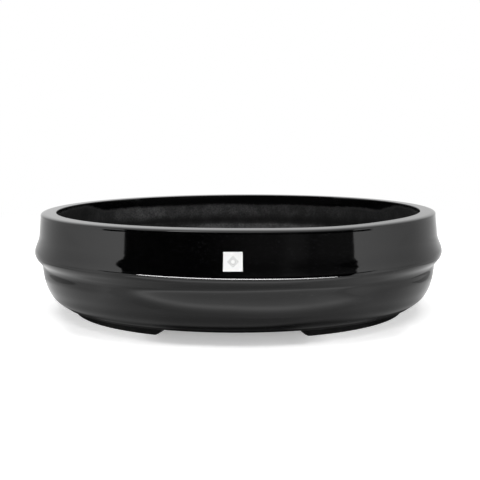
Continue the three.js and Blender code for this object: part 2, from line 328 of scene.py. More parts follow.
def add_drain_hole(bm, layer, x):
    """The wall of one drainage hole, with rounded edges. Returns the edges round its top and its bottom."""
    top = [
        (DRAIN_RADIUS + DRAIN_EDGE_ROUND * (1 - math.sin(a)), FLOOR - DRAIN_EDGE_ROUND * (1 - math.cos(a)))
        for a in np.linspace(0, math.pi / 2, HOLE_EDGE_POINTS)
    ]
    bottom = [(radius, BASE + FLOOR - z) for radius, z in reversed(top)]
    around = full_turn(HOLE_SIDES)
    rings = add_rings(bm, [
        points_at(x + radius * np.cos(around), radius * np.sin(around), z) * MM
        for radius, z in top + bottom
    ])
    for ring in rings:
        for vert in ring:
            vert[layer] = WELL_BARE
    return loop_edges(bm, rings[0]), loop_edges(bm, rings[-1])


def body_piece():
    """The pot's body in one closed mesh.

    Each of its points knows how far it lies past the glaze's edge, in millimetres.
    """
    outside, inside = outside_line(), inside_line()
    outside = [
        *evenly(outside[:-ROUND_POINTS], OUTSIDE_STEP),
        *evenly(outside[-ROUND_POINTS - 1:], ROUND_STEP)[1:],
    ]
    inside = [*evenly(inside[:EDGE_POINTS], EDGE_STEP), *evenly(inside[EDGE_POINTS - 1:], INSIDE_STEP)[1:]]
    under = [(UNDERSIDE_EDGE, BASE), ((UNDERSIDE_EDGE + LIP_FOOT[0]) / 2, BASE)]
    flat = [(outside[-1][0] - FLAT_MARGIN, HEIGHT), (inside[0][0] + FLAT_MARGIN, HEIGHT)]
    lines = [*under, *outside, *flat, *inside]
    past = [LIP_FOOT[0] - GLAZE_UNDERSIDE - out for out, z in under]
    past += [WELL_GLAZED] * (len(outside) + len(flat))
    past += [HEIGHT - z - GLAZE_INSIDE if z > FLOOR + BARE_FLOOR_MARGIN else WELL_BARE for out, z in inside]

    angles = full_turn(ROUND_SIDES)
    degrees = np.degrees((angles + math.pi) % (2 * math.pi) - math.pi)
    sag = SAG_DEPTH * hill(degrees, SAG_ANGLE, SAG_SPREAD)
    narrowing = NARROWING * hill(degrees, NARROWING_ANGLE, NARROWING_SPREAD)
    opening_start = len(lines) - len(inside) - 1
    bm = bmesh.new()
    layer = bm.verts.layers.float.new("past_glaze")
    rings = add_rings(bm, [
        oval(angles, out + narrowing * (k >= opening_start), z - sag * smooth(z, *SAG_HEIGHTS))
        for k, (out, z) in enumerate(lines)
    ])
    for ring, value in zip(rings, past):
        for vert in ring:
            vert[layer] = value

    low_edges, high_edges = loop_edges(bm, rings[0]), loop_edges(bm, rings[-1])
    for side in (-1, 1):
        hole_top, hole_bottom = add_drain_hole(bm, layer, side * DRAIN_X)
        high_edges += hole_top
        low_edges += hole_bottom
    bmesh.ops.triangle_fill(bm, use_beauty=True, edges=high_edges, normal=(0, 0, 1))
    bmesh.ops.triangle_fill(bm, use_beauty=True, edges=low_edges, normal=(0, 0, -1))
    return as_object("glazed_body", smooth_mesh("glazed_body", bm))


def foot_angle(distance, axis):
    """The angle round the oval at which the feet's face lies a distance from the middle along an axis."""
    angles = np.linspace(0, math.pi / 2, ANGLE_TRIES)
    reached = oval(angles, FOOT_FACE, 0)[:, axis] / MM
    return float(angles[np.argmin(np.abs(reached - distance))])


def toward(start, end, distance):
    """The point a distance from start on the way to end."""
    start, end = np.array(start, float), np.array(end, float)
    return start + (end - start) * distance / np.linalg.norm(end - start)


def bent_line(corners, bend, bend_points):
    """A line through corners, each between the first and the last rounded by a bend."""
    corners = [np.array(c, float) for c in corners]
    line = [corners[0][None]]
    for before, corner, after in zip(corners, corners[1:], corners[2:]):
        start, end = toward(corner, before, bend), toward(corner, after, bend)
        t = np.linspace(0, 1, bend_points)[:, None]
        line.append((1 - t) ** 2 * start + 2 * t * (1 - t) * corner + t ** 2 * end)
    line.append(corners[-1][None])
    return np.concatenate(line)


def foot_section(share):
    """One cut through a foot, as (distance outside the belt, height).

    The share is 0 at the foot's tips and 1 along its bottom.
    """
    depth = math.sin(share * math.pi / 2)
    low = (FOOT_HEIGHT - FOOT_TIP_HEIGHT) * (1 - depth)
    top = BASE + FOOT_INTO_BASE
    face, back = FOOT_FACE, FOOT_FACE - FOOT_THICKNESS
    low_face = face - FOOT_FACE_SLANT * depth
    low_back = back + FOOT_INNER_SLANT * depth
    radius = min(FOOT_EDGE_ROUND, FOOT_TIP_ROUND_SHARE * (FOOT_HEIGHT - low))
    return bent_line([(face, top), (low_face, low), (low_back, low), (back, top)], radius, FOOT_EDGE_POINTS)


def foot_piece(name, x_side, y_side):
    """One foot: a curved bar that follows the lip, with rounded lower edges and slanted ends."""
    start = foot_angle(FOOT_SPACING_SIDE / 2 - FOOT_END_SLANT, 1)
    end = foot_angle(FOOT_SPACING_FRONT / 2 - FOOT_END_SLANT, 0)
    slope_start = foot_angle(FOOT_SPACING_SIDE / 2, 1) - start
    slope_end = end - foot_angle(FOOT_SPACING_FRONT / 2, 0)
    shares = np.linspace(0, 1, FOOT_SLANT_CUTS)
    cuts = [(start + slope_start * s, s) for s in shares]
    cuts += [(a, 1) for a in np.linspace(start + slope_start, end - slope_end, FOOT_MIDDLE_CUTS)[1:-1]]
    cuts += [(end - slope_end * s, s) for s in shares[::-1]]
    rings = []
    for angle, share in cuts:
        section = foot_section(share)
        ring = oval(np.full(len(section), angle), section[:, 0], section[:, 1])
        rings.append(ring * np.array([x_side, y_side, 1]))
    mesh = capped_tube(name, rings)
    mesh.set_sharp_from_angle(angle=math.radians(FOOT_SHARP_ANGLE))
    return as_object(name, mesh)


def square_loop(half, corner, steps):
    """A square loop of points with rounded corners, with the same number of points on each side."""
    straight = half - corner
    points = []
    for quarter in range(4):
        turned = Matrix.Rotation(quarter * math.pi / 2, 2)
        for step in range(steps):
            share = -1 + 2 * step / steps
            p = Vector((half, share * half))
            over = max(0.0, abs(p.y) - straight)
            if corner and over:
                a = over / corner * math.pi / 4
                x, y = straight + corner * math.cos(a), straight + corner * math.sin(a)
                p = Vector((x, math.copysign(y, p.y)))
            points.append(turned @ p)
    return np.array(points)


def add_strand(bm, inner, outer, middle=(0, 0)):
    """Half a round strand, turned from one square loop to the other."""
    radius = NET_STRAND / 2
    add_rings(bm, [
        points_at(*(inner + (outer - inner) * math.sin(a) + middle).T, radius * math.cos(a))
        for a in np.linspace(0, math.pi, STRAND_TURN_POINTS)
    ])


def net_piece(name, x):
    """A moulded square net with round strands that cross in rounded knots."""
    radius = NET_STRAND / 2
    cell = square_loop(NET_PITCH / 2, 0, STRAND_SIDE_POINTS)
    hole = square_loop(NET_PITCH / 2 - radius, NET_HOLE_ROUND, STRAND_SIDE_POINTS)
    bm = bmesh.new()
    places = (np.arange(NET_GAPS) - (NET_GAPS - 1) / 2) * NET_PITCH
    for cx in places:
        for cy in places:
            add_strand(bm, cell, hole, (cx, cy))
    half = NET_GAPS * NET_PITCH / 2
    border = square_loop(half, 0, STRAND_SIDE_POINTS * NET_GAPS)
    edge = square_loop(half + radius, NET_CORNER, STRAND_SIDE_POINTS * NET_GAPS)
    add_strand(bm, border, edge)
    bmesh.ops.remove_doubles(bm, verts=bm.verts, dist=STRAND_JOIN)
    place = Matrix.Translation((x * MM, 0, (NET_BOTTOM + radius) * MM))
    bmesh.ops.transform(bm, matrix=place @ Matrix.Scale(MM, 4), verts=bm.verts)
    return as_object(name, smooth_mesh(name, bm))


def clip_piece(name, x):
    """A bent wire that lies on the net in two turns and hooks outwards under the floor, with rounded ends."""
    leg_x, leg_y = CLIP_LEG
    turn_x = leg_x + WIRE_BEND
    line = bent_line([
        (-leg_x - HOOK_LENGTH, -leg_y, CLIP_UNDER),
        (-leg_x, -leg_y, CLIP_UNDER),
        (-leg_x, -leg_y, CLIP_OVER),
        (turn_x, -leg_y, CLIP_OVER),
        (turn_x, 0, CLIP_OVER),
        (-turn_x, 0, CLIP_OVER),
        (-turn_x, leg_y, CLIP_OVER),
        (leg_x, leg_y, CLIP_OVER),
        (leg_x, leg_y, CLIP_UNDER),
        (leg_x + HOOK_LENGTH, leg_y, CLIP_UNDER),
    ], WIRE_BEND, WIRE_BEND_POINTS)
    line = evenly(line, WIRE_STEP) + (x, 0, 0)
    aheads = directions(line)
    side = np.cross(aheads[0], (0, 0, 1))
    from_end = np.minimum(np.arange(len(line)), np.arange(len(line))[::-1])
    radii = WIRE_RADIUS * np.array(WIRE_END_ROUND)[np.minimum(from_end, len(WIRE_END_ROUND) - 1)]
    around = full_turn(WIRE_SIDES)
    rings = []
    for point, ahead, radius in zip(line, aheads, radii):
        side = side - ahead * side.dot(ahead)
        side /= np.linalg.norm(side)
        up = np.cross(ahead, side)
        ring = point + radius * (np.cos(around)[:, None] * side + np.sin(around)[:, None] * up)
        rings.append(ring * MM)
    return as_object(name, capped_tube(name, rings))


def label_piece():
    """A thin square of paper that follows the wall, with slightly rounded corners and its own UV square."""
    wall = outside_line()
    wall = wall[wall[:, 1] > BELT[1]]
    along, slope = lengths_along(wall), directions(wall)
    foot = np.interp(LABEL_FOOT, wall[:, 1], along)
    inner = 1 - 2 * LABEL_CORNER
    middle = np.linspace(-inner, inner, LABEL_CUTS)
    lines = np.concatenate([[-1, -1 + LABEL_CORNER], middle, [1 - LABEL_CORNER, 1]])
    bm = bmesh.new()
    uv = bm.loops.layers.uv.new("label")
    where = {}
    sheets = []
    for lift in (LABEL_LIFT, LABEL_LIFT + LABEL_THICKNESS):
        grid = []
        for v in lines:
            row = []
            for u in lines:
                across, up = corner_rounded(u, v, 2 * LABEL_CORNER)
                s = foot + (up + 1) / 2 * LABEL_SIZE
                out, z = (np.interp(s, along, wall[:, k]) for k in range(2))
                tx, tz = (np.interp(s, along, slope[:, k]) for k in range(2))
                angle = -math.pi / 2 + math.asin((LABEL_OFF_MIDDLE + across * LABEL_SIZE / 2) / (LENGTH / 2))
                vert = bm.verts.new(oval(np.array(angle), out + tz * lift, z - tx * lift))
                where[vert] = ((across + 1) / 2, (up + 1) / 2)
                row.append(vert)
            grid.append(row)
        sheets.append(grid)
    count = len(lines)
    for grid in sheets:
        for i in range(count - 1):
            for j in range(count - 1):
                bm.faces.new((grid[i][j], grid[i][j + 1], grid[i + 1][j + 1], grid[i + 1][j]))
    edge = [(0, j) for j in range(count)] + [(i, count - 1) for i in range(1, count)]
    edge += [(count - 1, j) for j in range(count - 2, -1, -1)] + [(i, 0) for i in range(count - 2, 0, -1)]
    for (i, j), (k, m) in zip(edge, edge[1:] + edge[:1]):
        bm.faces.new((sheets[0][i][j], sheets[0][k][m], sheets[1][k][m], sheets[1][i][j]))
    for face in bm.faces:
        for loop in face.loops:
            loop[uv].uv = where[loop.vert]
    mesh = smooth_mesh("paper_label", bm)
    mesh.set_sharp_from_angle(angle=math.radians(LABEL_SHARP_ANGLE))
    return as_object("paper_label", mesh)


def corner_rounded(u, v, corner):
    """A point of the square from -1 to 1, moved so that the square's corners are round."""
    a = (abs(u) - (1 - corner)) / corner
    b = (abs(v) - (1 - corner)) / corner
    if a <= 0 or b <= 0:
        return u, v
    round_a, round_b = a * math.sqrt(1 - b * b / 2), b * math.sqrt(1 - a * a / 2)
    return (
        math.copysign(1 - corner + corner * round_a, u),
        math.copysign(1 - corner + corner * round_b, v),
    )


# Materials. A noise is given as its scale and, where they matter, its detail and roughness.


def node(tree, kind, inputs=None, **settings):
    """A new shader node with its settings, and its inputs linked or set."""
    made = tree.nodes.new(f"ShaderNode{kind}")
    for key, value in settings.items():
        setattr(made, key, value)
    for key, value in (inputs or {}).items():
        if isinstance(value, bpy.types.NodeSocket):
            tree.links.new(value, made.inputs[key])
        else:
            made.inputs[key].default_value = value
    return made


def calc(tree, operation, a, b=0.0):
    return node(tree, "Math", {0: a, 1: b}, operation=operation).outputs[0]


def plus(tree, a, b):
    return calc(tree, "ADD", a, b)


def times(tree, first, *others):
    """The product of all the values."""
    for other in others:
        first = calc(tree, "MULTIPLY", first, other)
    return first


def away_from(tree, value, middle):
    """How far value lies from the middle, on either side."""
    return calc(tree, "ABSOLUTE", calc(tree, "SUBTRACT", value, middle))


def separate(tree, vector):
    """The X, Y and Z of a vector."""
    return node(tree, "SeparateXYZ", {"Vector": vector}).outputs


def noise(tree, where, scale, detail=2.0, roughness=0.5):
    inputs = {"Vector": where, "Scale": scale, "Detail": detail, "Roughness": roughness}
    return node(tree, "TexNoise", inputs).outputs["Fac"]


def swing(tree, where, scale, size):
    """Noise that swings to both sides of zero."""
    return times(tree, calc(tree, "SUBTRACT", noise(tree, where, scale), 0.5), size)


def ramp(tree, value, low, high):
    """A smooth step from 0, where value is at low, to 1, where it is at high."""
    inputs = {"Value": value, "From Min": low, "From Max": high}
    made = node(tree, "MapRange", inputs, clamp=True, interpolation_type="SMOOTHSTEP")
    return made.outputs["Result"]


def blend(tree, share, first, second):
    inputs = {"Factor": share, 2: first, 3: second}
    return node(tree, "Mix", inputs, data_type="FLOAT").outputs[0]


def blend_colours(tree, share, first, second):
    inputs = {"Factor": share}
    for index, value in ((6, first), (7, second)):
        inputs[index] = value if isinstance(value, bpy.types.NodeSocket) else (*value, 1)
    return node(tree, "Mix", inputs, data_type="RGBA").outputs[2]


def new_material(name):
    """A material, its node tree, its Principled shader and the object's own coordinates."""
    material = bpy.data.materials.new(name)
    material.use_nodes = True
    tree = material.node_tree
    shader = tree.nodes["Principled BSDF"]
    where = node(tree, "TexCoord").outputs["Object"]
    return material, tree, shader, where


def wire_up(tree, shader, colour, roughness, height, relief):
    """Links what varies over the surface to the shader. The relief is in metres, for a height of 1."""
    bump = node(tree, "Bump", {"Height": height, "Distance": relief, "Strength": 1.0})
    tree.links.new(colour, shader.inputs["Base Color"])
    tree.links.new(roughness, shader.inputs["Roughness"])
    tree.links.new(bump.outputs["Normal"], shader.inputs["Normal"])


GLAZE_BLACK = (0.0009, 0.0009, 0.001)
GLAZE_SPECK = (0.012, 0.012, 0.013)
CLAY_DARK = (0.004, 0.004, 0.0042)
CLAY_LIGHT = (0.089, 0.089, 0.09)
GLAZE_IOR = 1.46
GLAZE_SPECULAR = 0.5
CLAY_SPECULAR = 0.12

# The glaze's edge, in millimetres: scale and swing of its waves, its softness, and its rise at the rim's ends
EDGE_WAVE = (28, 2.5)
EDGE_RAGGED = (260, 1.8)
EDGE_FADE = (-2.6, 2.6)
EDGE_RISE = 7.0
RIM_ENDS_X = (0.132, 0.15)
RIM_ENDS_Z = (0.05, 0.07)

# Specks in the glaze: the cells that hold them, their edge in a cell, and which cells and patches have them
SPECK_CELLS = 620.0
SPECK_EDGE = (0.42, 0.12)
SPECK_CHANCE = (0.45, 0.95)
SPECK_PATCHES = (45, 3)
SPECK_PATCH_RANGE = (0.35, 0.7)
SPECK_OUTSIDE_PATCH = 0.35

# The bare clay inside, in metres: painted light on a band high on the wall, painted shade under it and
# painted light again low on the wall, lighter towards the left, with a pale spot, and painted light on a
# stretch lower on the wall behind
CLAY_MOTTLE = (95, 5, 0.62)
CLAY_MOTTLE_RANGE = (0.36, 0.66)
CLAY_MOTTLE_LIGHT = (0.4, 0.8)
CLAY_GRAIN = (620, 4, 0.65)
CLAY_GRAIN_RANGE = (0.3, 0.75)
CLAY_GRAIN_LIGHT = (0.35, 0.95)
BAND_Z = (0.0635, 0.0725)
UNDER_BAND_LIGHT = 0.16
LOW_WALL_Z = (0.0635, 0.061)
LOW_WALL_LIGHT = 0.2
RIGHT_TO_LEFT_X = (0.13, -0.02)
RIGHT_LIGHT = 0.38
FAR_LEFT_X = (-0.158, -0.115)
FAR_LEFT_LIGHT = 0.2
PALE_SPOT_X = -0.1
PALE_SPOT_REACH = (0.032, 0.008)
PALE_SPOT_LIGHT = 1.6
# Painted light on a stretch lower on the wall behind, where light from above falls
PAINTED_LIGHT_X = 0.0135
PAINTED_LIGHT_REACH = (0.085, 0.05)
PAINTED_LIGHT_Y = (0.02, 0.06)
PAINTED_LIGHT_TOP_Z = (0.0612, 0.0575)
PAINTED_LIGHT_FOOT_Z = (0.034, 0.05)
PAINTED_LIGHT_GAIN = 2.0

# Roughness, and relief: the heights of its parts are shares of BODY_RELIEF, which is in metres
GLOSS_PATCHES = (70, 3)
GLAZE_ROUGHNESS = (0.035, 0.075)
CLAY_ROUGHNESS = (0.72, 0.6)
RIPPLE_FINE = 240
RIPPLE_BROAD = 55
RIPPLE_BROAD_SHARE = 3.0
RIPPLE_HEIGHT = 0.05
CLAY_PITS = (800, 4, 0.6)
CLAY_PIT_HEIGHT = 1.6
GLAZE_THICKNESS = 0.5
BODY_RELIEF = 0.00012


def bare_share(tree, where, place):
    """0 on the glaze and 1 on the bare clay past its uneven edge."""
    past = node(tree, "Attribute", attribute_name="past_glaze").outputs["Fac"]
    edge = plus(tree, plus(tree, past, swing(tree, where, *EDGE_WAVE)), swing(tree, where, *EDGE_RAGGED))
    at_ends = times(
        tree,
        ramp(tree, calc(tree, "ABSOLUTE", place["X"]), *RIM_ENDS_X),
        ramp(tree, place["Z"], *RIM_ENDS_Z),
    )
    return ramp(tree, plus(tree, edge, times(tree, at_ends, EDGE_RISE)), *EDGE_FADE)


def glaze_colour(tree, where):
    """Nearly black, with fine specks."""
    cells = node(tree, "TexVoronoi", {"Vector": where, "Scale": SPECK_CELLS, "Randomness": 1.0})
    chance = node(tree, "SeparateColor", {"Color": cells.outputs["Color"]}).outputs[0]
    patch = ramp(tree, noise(tree, where, *SPECK_PATCHES), *SPECK_PATCH_RANGE)
    speck = times(
        tree,
        ramp(tree, cells.outputs["Distance"], *SPECK_EDGE),
        ramp(tree, chance, *SPECK_CHANCE),
        blend(tree, patch, SPECK_OUTSIDE_PATCH, 1.0),
    )
    return blend_colours(tree, speck, GLAZE_BLACK, GLAZE_SPECK)


def clay_colour(tree, where, place, mottle):
    """Dark clay, with painted light on a band high on the wall, painted shade under it, and painted light
    lower down, most of all on a stretch behind.
    """
    # Painted light and shade by height: lighter on a band high on the wall, darker under it, and lighter
    # again low on the wall
    band = blend(tree, ramp(tree, place["Z"], *BAND_Z), UNDER_BAND_LIGHT, 1.0)
    painted_light_and_tone = plus(tree, band, times(tree, ramp(tree, place["Z"], *LOW_WALL_Z), LOW_WALL_LIGHT))
    at_spot = ramp(tree, away_from(tree, place["X"], PALE_SPOT_X), *PALE_SPOT_REACH)
    leftward = times(
        tree,
        blend(tree, ramp(tree, place["X"], *RIGHT_TO_LEFT_X), RIGHT_LIGHT, 1.0),
        blend(tree, ramp(tree, place["X"], *FAR_LEFT_X), FAR_LEFT_LIGHT, 1.0),
        blend(tree, at_spot, 1.0, PALE_SPOT_LIGHT),
    )
    # Painted light low on the wall behind, where light from above falls
    painted_low_light = times(
        tree,
        ramp(tree, place["Z"], *PAINTED_LIGHT_TOP_Z),
        ramp(tree, away_from(tree, place["X"], PAINTED_LIGHT_X), *PAINTED_LIGHT_REACH),
        ramp(tree, place["Y"], *PAINTED_LIGHT_Y),
        ramp(tree, place["Z"], *PAINTED_LIGHT_FOOT_Z),
    )
    painted_light_and_tone = plus(tree, times(tree, painted_light_and_tone, leftward), times(tree, painted_low_light, PAINTED_LIGHT_GAIN))
    grain = ramp(tree, noise(tree, where, *CLAY_GRAIN), *CLAY_GRAIN_RANGE)
    light = times(
        tree,
        blend(tree, mottle, *CLAY_MOTTLE_LIGHT),
        blend(tree, grain, *CLAY_GRAIN_LIGHT),
        painted_light_and_tone,
    )
    return blend_colours(tree, light, CLAY_DARK, CLAY_LIGHT)


def body_material():
    """Black glaze with fine specks, and bare dark clay inside and underneath."""
    material, tree, shader, where = new_material("glaze_and_clay")
    place = separate(tree, where)
    bare = bare_share(tree, where, place)
    mottle = ramp(tree, noise(tree, where, *CLAY_MOTTLE), *CLAY_MOTTLE_RANGE)
    colour = blend_colours(tree, bare, glaze_colour(tree, where), clay_colour(tree, where, place, mottle))

    gloss = blend(tree, noise(tree, where, *GLOSS_PATCHES), *GLAZE_ROUGHNESS)
    roughness = blend(tree, bare, gloss, blend(tree, mottle, *CLAY_ROUGHNESS))

    broad = times(tree, noise(tree, where, RIPPLE_BROAD), RIPPLE_BROAD_SHARE)
    ripple = times(tree, plus(tree, noise(tree, where, RIPPLE_FINE), broad), RIPPLE_HEIGHT)
    pits = times(tree, noise(tree, where, *CLAY_PITS), CLAY_PIT_HEIGHT)
    height = plus(tree, blend(tree, bare, ripple, pits), times(tree, bare, -GLAZE_THICKNESS))
    wire_up(tree, shader, colour, roughness, height, BODY_RELIEF)
    shader.inputs["IOR"].default_value = GLAZE_IOR
    specular = blend(tree, bare, GLAZE_SPECULAR, CLAY_SPECULAR)
    tree.links.new(specular, shader.inputs["Specular IOR Level"])
    return material


FOOT_DARK = (0.002, 0.002, 0.0021)
FOOT_LIGHT = (0.005, 0.005, 0.0051)
FOOT_RUBBED = (0.02, 0.02, 0.02)
FOOT_RUBBED_Z = (0.0022, 0.0)
FOOT_MOTTLE = (110, 5, 0.6)
FOOT_MOTTLE_RANGE = (0.35, 0.68)
FOOT_WEAR = (500, 3)
FOOT_GRAIN = (700, 4, 0.6)
FOOT_ROUGHNESS = (0.3, 0.44)
FOOT_IOR = 1.38
FOOT_SPECULAR = 0.35
FOOT_RELIEF = 0.0001


def foot_material():
    """The same clay, half sealed: darker, a little shiny, and rubbed along its resting edge."""
    material, tree, shader, where = new_material("foot_clay")
    mottle = ramp(tree, noise(tree, where, *FOOT_MOTTLE), *FOOT_MOTTLE_RANGE)
    low = ramp(tree, separate(tree, where)["Z"], *FOOT_RUBBED_Z)
    rubbed = times(tree, low, noise(tree, where, *FOOT_WEAR))
    colour = blend_colours(tree, rubbed, blend_colours(tree, mottle, FOOT_DARK, FOOT_LIGHT), FOOT_RUBBED)
    roughness = blend(tree, mottle, *FOOT_ROUGHNESS)
    wire_up(tree, shader, colour, roughness, noise(tree, where, *FOOT_GRAIN), FOOT_RELIEF)
    shader.inputs["IOR"].default_value = FOOT_IOR
    shader.inputs["Specular IOR Level"].default_value = FOOT_SPECULAR
    return material


NET_DARK = (0.011, 0.012, 0.011)
NET_LIGHT = (0.017, 0.018, 0.017)
NET_DUST = (0.08, 0.078, 0.072)
NET_DUST_SHARE = 0.35
NET_DUST_SLOPE = (0.4, 1.0)
NET_DUST_GRAIN = (420, 4, 0.65)
NET_FLOW = (140, 3)
NET_GRAIN = (1300, 3)
NET_ROUGHNESS = (0.42, 0.6)
NET_RELIEF = 0.00004


def net_material():
    """Moulded dark plastic: faint flow marks, and dust that settles on its upper side."""
    material, tree, shader, where = new_material("net_plastic")
    flow = noise(tree, where, *NET_FLOW)
    up = separate(tree, node(tree, "NewGeometry").outputs["Normal"])["Z"]
    settled = ramp(tree, up, *NET_DUST_SLOPE)
    dust = times(tree, settled, noise(tree, where, *NET_DUST_GRAIN), NET_DUST_SHARE)
    colour = blend_colours(tree, dust, blend_colours(tree, flow, NET_DARK, NET_LIGHT), NET_DUST)
    roughness = blend(tree, flow, *NET_ROUGHNESS)
    wire_up(tree, shader, colour, roughness, noise(tree, where, *NET_GRAIN), NET_RELIEF)
    return material


WIRE_BRIGHT = (0.66, 0.66, 0.67)
WIRE_DULL = (0.5, 0.5, 0.51)
WIRE_PATCHES = (160, 4, 0.6)
WIRE_PATCH_RANGE = (0.4, 0.7)
WIRE_MARKS = 2600
WIRE_ROUGHNESS = (0.24, 0.44)
WIRE_RELIEF = 0.00002


def wire_material():
    """Soft aluminium wire with fine drawing marks and dull patches."""
    material, tree, shader, where = new_material("clip_wire")
    dull = ramp(tree, noise(tree, where, *WIRE_PATCHES), *WIRE_PATCH_RANGE)
    colour = blend_colours(tree, dull, WIRE_BRIGHT, WIRE_DULL)
    roughness = blend(tree, dull, *WIRE_ROUGHNESS)
    wire_up(tree, shader, colour, roughness, noise(tree, where, WIRE_MARKS), WIRE_RELIEF)
    shader.inputs["Metallic"].default_value = 1.0
    return material


# The label's two outlines: how far from its middle each lies, and its edges, as shares of the label's side
LABEL_OUTLINES = ((0.27, (0.017, 0.009)), (0.17, (0.02, 0.012)))
LABEL_INK = (0.06, 0.06, 0.06)
LABEL_INK_SHARE = 0.85
PAPER_DULL = (0.9, 0.9, 0.895)
PAPER_BRIGHT = (0.955, 0.955, 0.95)
PAPER_FIBRE = (1600, 4, 0.6)
PAPER_ROUGHNESS = (0.42, 0.56)
PAPER_RELIEF = 0.00002


def label_material():
    """White coated paper with a plain printed outline: a small square set on its corner."""
    material, tree, shader, where = new_material("label_paper")
    place = separate(tree, node(tree, "UVMap", uv_map="label").outputs["UV"])
    reach = plus(tree, away_from(tree, place["X"], 0.5), away_from(tree, place["Y"], 0.5))
    ink = calc(tree, "MAXIMUM", *(
        ramp(tree, away_from(tree, reach, middle), *edge) for middle, edge in LABEL_OUTLINES
    ))
    fibre = noise(tree, where, *PAPER_FIBRE)
    paper = blend_colours(tree, fibre, PAPER_DULL, PAPER_BRIGHT)
    colour = blend_colours(tree, times(tree, ink, LABEL_INK_SHARE), paper, LABEL_INK)
    roughness = blend(tree, fibre, *PAPER_ROUGHNESS)
    wire_up(tree, shader, colour, roughness, fibre, PAPER_RELIEF)
    return material


# Studio, in metres


WHITE = (1, 1, 1, 1)


def staged_mesh(name, bm, material):
    """An object that isn't part of the pot, from a bmesh, which is freed."""
    mesh = bpy.data.meshes.new(name)
    bm.to_mesh(mesh)
    bm.free()
    card = as_object(name, mesh)
    card.data.materials.append(material)
    return card


def flat_card(name, corners, material):
    bm = bmesh.new()
    bm.faces.new([bm.verts.new(c) for c in corners])
    return staged_mesh(name, bm, material)


def graded_card(name, rows, glows):
    """A sheet of quads through rows of points, each point with its own glow."""
    bm = bmesh.new()
    layer = bm.verts.layers.float.new("glow")
    grid = []
    for points, values in zip(rows, glows):
        grid.append([bm.verts.new(point) for point in points])
        for vert, value in zip(grid[-1], values):
            vert[layer] = value
    for low, high in zip(grid, grid[1:]):
        for i in range(len(low) - 1):
            bm.faces.new((low[i], low[i + 1], high[i + 1], high[i]))
    return staged_mesh(name, bm, glowing(name))


def empty_material(name):
    material = bpy.data.materials.new(name)
    material.use_nodes = True
    material.node_tree.nodes.clear()
    return material, material.node_tree


def show(tree, shader):
    """Links a shader to the material's output."""
    out = node(tree, "OutputMaterial")
    tree.links.new(shader.outputs[0], out.inputs["Surface"])


def glowing(name, strength=None):
    """A material that glows as strongly as it is told, or else as each point of its mesh says."""
    material, tree = empty_material(name)
    if strength is None:
        strength = node(tree, "Attribute", attribute_name="glow").outputs["Fac"]
    show(tree, node(tree, "Emission", {"Color": WHITE, "Strength": strength}))
    return material


def only_mirrored(card):
    """Hides a card from all but glossy and transmitted rays."""
    card.visible_camera = False
    card.visible_glossy = True
    card.visible_diffuse = False
    card.visible_transmission = True
    card.visible_volume_scatter = False
    card.visible_shadow = False


def seen_directly(tree):
    """1 for camera, glossy and transmission rays, and 0 for the rest."""
    path = node(tree, "LightPath").outputs
    seen = calc(tree, "MAXIMUM", path["Is Camera Ray"], path["Is Glossy Ray"])
    return calc(tree, "MAXIMUM", seen, path["Is Transmission Ray"])


FLOOR_COLOUR = (0.86, 0.86, 0.86, 1)
FLOOR_REACH = 4.0
FLOOR_FADE = (0.42, 0.8)

# The floor's glow near the pot, painted light seen only by the camera that lifts and shapes the pot's shadow,
# and the rings between which it sets in, as shares of the belt's ellipse.
# By the feet and by the pot's ends it also takes a distance from the middle.
FLOOR_GLOW_UNDER = 0.36
FLOOR_GLOW_BESIDE = 0.46
FLOOR_BESIDE_RING = (0.855, 0.945)
FLOOR_GLOW_OUTSIDE = 0.2
FLOOR_OUTSIDE_RING = (0.96, 1.08)
FLOOR_GLOW_BY_FEET = (0.17, (0.95, 0.875), (0.05, 0.08))
FLOOR_GLOW_BY_ENDS = (0.2, (0.885, 0.95), (0.125, 0.15))


def make_floor():
    """A pale floor that keeps the pot's shadow, lifted and shaped near the pot by painted light, and fades to
    plain white further out.
    """
    material, tree = empty_material("pale_floor")
    where = node(tree, "TexCoord").outputs["Object"]
    distance = node(tree, "VectorMath", {0: where}, operation="LENGTH").outputs["Value"]
    far = times(tree, ramp(tree, distance, *FLOOR_FADE), seen_directly(tree))

    inputs = {0: where, 1: (1 / (LENGTH / 2 * MM), 1 / (WIDTH / 2 * MM), 0)}
    squeezed = node(tree, "VectorMath", inputs, operation="MULTIPLY").outputs["Vector"]
    ring = node(tree, "VectorMath", {0: squeezed}, operation="LENGTH").outputs["Value"]
    off_middle = calc(tree, "ABSOLUTE", separate(tree, where)["X"])
    # Painted light near the pot: glow under it, beside it, outside it and by its feet and ends, which shapes
    # its shadow
    beside = ramp(tree, ring, *FLOOR_BESIDE_RING)
    outside = ramp(tree, ring, *FLOOR_OUTSIDE_RING)
    near = blend(tree, beside, FLOOR_GLOW_UNDER, FLOOR_GLOW_BESIDE)
    near = plus(tree, near, times(tree, outside, FLOOR_GLOW_OUTSIDE))
    for glow, rings, reach in (FLOOR_GLOW_BY_FEET, FLOOR_GLOW_BY_ENDS):
        on_ring, at_side = ramp(tree, ring, *rings), ramp(tree, off_middle, *reach)
        near = plus(tree, near, times(tree, on_ring, at_side, glow))
    near = times(tree, near, node(tree, "LightPath").outputs["Is Camera Ray"])

    plain = node(tree, "BsdfDiffuse", {"Color": FLOOR_COLOUR})
    lift = node(tree, "Emission", {"Color": WHITE, "Strength": near})
    lifted = node(tree, "AddShader", {0: plain.outputs[0], 1: lift.outputs[0]})
    white = node(tree, "Emission", {"Color": WHITE, "Strength": 1.0})
    show(tree, node(tree, "MixShader", {0: far, 1: lifted.outputs[0], 2: white.outputs[0]}))
    signs = ((-1, -1), (1, -1), (1, 1), (-1, 1))
    flat_card("floor", [(x * FLOOR_REACH, y * FLOOR_REACH, 0) for x, y in signs], material)


AMBIENT = 0.35


